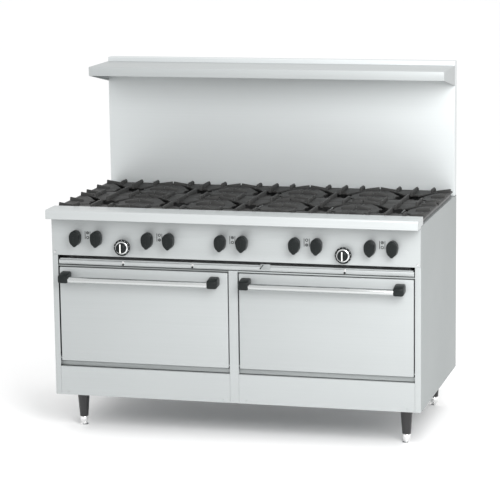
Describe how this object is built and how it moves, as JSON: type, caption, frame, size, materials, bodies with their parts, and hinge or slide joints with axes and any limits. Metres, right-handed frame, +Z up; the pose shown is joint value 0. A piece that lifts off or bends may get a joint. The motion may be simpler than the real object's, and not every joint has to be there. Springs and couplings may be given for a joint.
{
  "type": "commercial gas range",
  "caption": "Free-standing commercial gas range with open-burner grates, drop-door ovens, a backguard and a high shelf.",
  "frame": {"origin": "middle of the range's footprint, on the floor", "axes": "+X to the cook's right, +Y to the back, +Z up"},
  "size_m": [1.5, 0.876, 1.448],
  "materials": {
    "stainless": "fine brushed",
    "side_steel": "satin sheet",
    "galvanised_steel": "dull galvanised sheet",
    "grate_iron": "rough casting",
    "burner_iron": "rough casting",
    "black_plastic": "fine moulded grain",
    "dial": "polished ring, black grip",
    "foot_metal": "bright plated",
    "leg_black": "satin black",
    "bar_steel": "polished tube",
    "rack_wire": "plated wire",
    "oven_enamel": "speckled enamel",
    "pipe_steel": "dull black pipe"
  },
  "bodies": {
    "range_body": {"body_frame": "galvanised_steel", "side_panel_left": "side_steel", "side_panel_right": "side_steel", "control_panel": "stainless", "front_rail": "stainless", "kick_panel_left": "stainless", "kick_panel_right": "stainless", "backguard": "stainless", "high_shelf": "stainless", "gas_manifold": "pipe_steel", "leg_front_left": "leg_black", "leg_front_right": "leg_black", "leg_rear_left": "leg_black", "leg_rear_right": "leg_black", "oven_left": "oven_enamel", "oven_right": "oven_enamel", "oven_rack_left": "rack_wire", "oven_rack_right": "rack_wire", "burner_pair_1": "burner_iron", "burner_pair_2": "burner_iron", "burner_pair_3": "burner_iron", "burner_pair_4": "burner_iron", "burner_pair_5": "burner_iron"},
    "door_left": {"door_left_shell": "stainless", "door_left_liner": "oven_enamel", "door_left_bracket_left": "black_plastic", "door_left_bracket_right": "black_plastic", "door_left_handle_bar": "bar_steel"},
    "door_right": {"door_right_shell": "stainless", "door_right_liner": "oven_enamel", "door_right_bracket_left": "black_plastic", "door_right_bracket_right": "black_plastic", "door_right_handle_bar": "bar_steel"},
    "crumb_tray": {"crumb_tray": "stainless"},
    "burner_knob_1": {"burner_knob_1": "black_plastic"},
    "burner_knob_2": {"burner_knob_2": "black_plastic"},
    "burner_knob_3": {"burner_knob_3": "black_plastic"},
    "burner_knob_4": {"burner_knob_4": "black_plastic"},
    "burner_knob_5": {"burner_knob_5": "black_plastic"},
    "burner_knob_6": {"burner_knob_6": "black_plastic"},
    "burner_knob_7": {"burner_knob_7": "black_plastic"},
    "burner_knob_8": {"burner_knob_8": "black_plastic"},
    "burner_knob_9": {"burner_knob_9": "black_plastic"},
    "burner_knob_10": {"burner_knob_10": "black_plastic"},
    "thermostat_dial_left": {"thermostat_dial_left": "dial"},
    "thermostat_dial_right": {"thermostat_dial_right": "dial"},
    "grate_front_1": {"grate_front_1": "grate_iron"},
    "grate_front_2": {"grate_front_2": "grate_iron"},
    "grate_front_3": {"grate_front_3": "grate_iron"},
    "grate_front_4": {"grate_front_4": "grate_iron"},
    "grate_front_5": {"grate_front_5": "grate_iron"},
    "grate_rear_1": {"grate_rear_1": "grate_iron"},
    "grate_rear_2": {"grate_rear_2": "grate_iron"},
    "grate_rear_3": {"grate_rear_3": "grate_iron"},
    "grate_rear_4": {"grate_rear_4": "grate_iron"},
    "grate_rear_5": {"grate_rear_5": "grate_iron"},
    "foot_front_left": {"foot_front_left": "foot_metal"},
    "foot_front_right": {"foot_front_right": "foot_metal"},
    "foot_rear_left": {"foot_rear_left": "foot_metal"},
    "foot_rear_right": {"foot_rear_right": "foot_metal"}
  },
  "joints": [
    {"name": "door_left_hinge", "type": "hinge", "parent": "range_body", "child": "door_left", "pos_m": [-0.37225, -0.358, 0.3025], "axis": [1, 0, 0], "range_deg": [0, 90]},
    {"name": "door_right_hinge", "type": "hinge", "parent": "range_body", "child": "door_right", "pos_m": [0.37225, -0.358, 0.3025], "axis": [1, 0, 0], "range_deg": [0, 90]},
    {"name": "crumb_tray_slide", "type": "slide", "parent": "range_body", "child": "crumb_tray", "axis": [0, -1, 0], "range_m": [0, 0.55]},
    {"name": "burner_knob_1_turn", "type": "hinge", "parent": "range_body", "child": "burner_knob_1", "pos_m": [-0.6424, -0.38, 0.806], "axis": [0, -1, 0], "range_deg": [0, 90]},
    {"name": "burner_knob_2_turn", "type": "hinge", "parent": "range_body", "child": "burner_knob_2", "pos_m": [-0.5544, -0.38, 0.806], "axis": [0, -1, 0], "range_deg": [0, 90]},
    {"name": "burner_knob_3_turn", "type": "hinge", "parent": "range_body", "child": "burner_knob_3", "pos_m": [-0.3432, -0.38, 0.806], "axis": [0, -1, 0], "range_deg": [0, 90]},
    {"name": "burner_knob_4_turn", "type": "hinge", "parent": "range_body", "child": "burner_knob_4", "pos_m": [-0.2552, -0.38, 0.806], "axis": [0, -1, 0], "range_deg": [0, 90]},
    {"name": "burner_knob_5_turn", "type": "hinge", "parent": "range_body", "child": "burner_knob_5", "pos_m": [-0.044, -0.38, 0.806], "axis": [0, -1, 0], "range_deg": [0, 90]},
    {"name": "burner_knob_6_turn", "type": "hinge", "parent": "range_body", "child": "burner_knob_6", "pos_m": [0.044, -0.38, 0.806], "axis": [0, -1, 0], "range_deg": [0, 90]},
    {"name": "burner_knob_7_turn", "type": "hinge", "parent": "range_body", "child": "burner_knob_7", "pos_m": [0.2552, -0.38, 0.806], "axis": [0, -1, 0], "range_deg": [0, 90]},
    {"name": "burner_knob_8_turn", "type": "hinge", "parent": "range_body", "child": "burner_knob_8", "pos_m": [0.3432, -0.38, 0.806], "axis": [0, -1, 0], "range_deg": [0, 90]},
    {"name": "burner_knob_9_turn", "type": "hinge", "parent": "range_body", "child": "burner_knob_9", "pos_m": [0.5544, -0.38, 0.806], "axis": [0, -1, 0], "range_deg": [0, 90]},
    {"name": "burner_knob_10_turn", "type": "hinge", "parent": "range_body", "child": "burner_knob_10", "pos_m": [0.6424, -0.38, 0.806], "axis": [0, -1, 0], "range_deg": [0, 90]},
    {"name": "thermostat_left_turn", "type": "hinge", "parent": "range_body", "child": "thermostat_dial_left", "pos_m": [-0.4488, -0.3695, 0.768], "axis": [0, -1, 0], "range_deg": [0, 270]},
    {"name": "thermostat_right_turn", "type": "hinge", "parent": "range_body", "child": "thermostat_dial_right", "pos_m": [0.4488, -0.3695, 0.768], "axis": [0, -1, 0], "range_deg": [0, 270]},
    {"name": "grate_front_1_lift", "type": "slide", "parent": "range_body", "child": "grate_front_1", "axis": [0, 0, 1], "range_m": [0, 0.08]},
    {"name": "grate_front_2_lift", "type": "slide", "parent": "range_body", "child": "grate_front_2", "axis": [0, 0, 1], "range_m": [0, 0.08]},
    {"name": "grate_front_3_lift", "type": "slide", "parent": "range_body", "child": "grate_front_3", "axis": [0, 0, 1], "range_m": [0, 0.08]},
    {"name": "grate_front_4_lift", "type": "slide", "parent": "range_body", "child": "grate_front_4", "axis": [0, 0, 1], "range_m": [0, 0.08]},
    {"name": "grate_front_5_lift", "type": "slide", "parent": "range_body", "child": "grate_front_5", "axis": [0, 0, 1], "range_m": [0, 0.08]},
    {"name": "grate_rear_1_lift", "type": "slide", "parent": "range_body", "child": "grate_rear_1", "axis": [0, 0, 1], "range_m": [0, 0.08]},
    {"name": "grate_rear_2_lift", "type": "slide", "parent": "range_body", "child": "grate_rear_2", "axis": [0, 0, 1], "range_m": [0, 0.08]},
    {"name": "grate_rear_3_lift", "type": "slide", "parent": "range_body", "child": "grate_rear_3", "axis": [0, 0, 1], "range_m": [0, 0.08]},
    {"name": "grate_rear_4_lift", "type": "slide", "parent": "range_body", "child": "grate_rear_4", "axis": [0, 0, 1], "range_m": [0, 0.08]},
    {"name": "grate_rear_5_lift", "type": "slide", "parent": "range_body", "child": "grate_rear_5", "axis": [0, 0, 1], "range_m": [0, 0.08]},
    {"name": "foot_front_left_screw", "type": "hinge", "parent": "range_body", "child": "foot_front_left", "pos_m": [-0.672, -0.256, 0.02], "axis": [0, 0, 1], "continuous": true},
    {"name": "foot_front_right_screw", "type": "hinge", "parent": "range_body", "child": "foot_front_right", "pos_m": [0.672, -0.256, 0.02], "axis": [0, 0, 1], "continuous": true},
    {"name": "foot_rear_left_screw", "type": "hinge", "parent": "range_body", "child": "foot_rear_left", "pos_m": [-0.672, 0.358, 0.02], "axis": [0, 0, 1], "continuous": true},
    {"name": "foot_rear_right_screw", "type": "hinge", "parent": "range_body", "child": "foot_rear_right", "pos_m": [0.672, 0.358, 0.02], "axis": [0, 0, 1], "continuous": true}
  ]
}
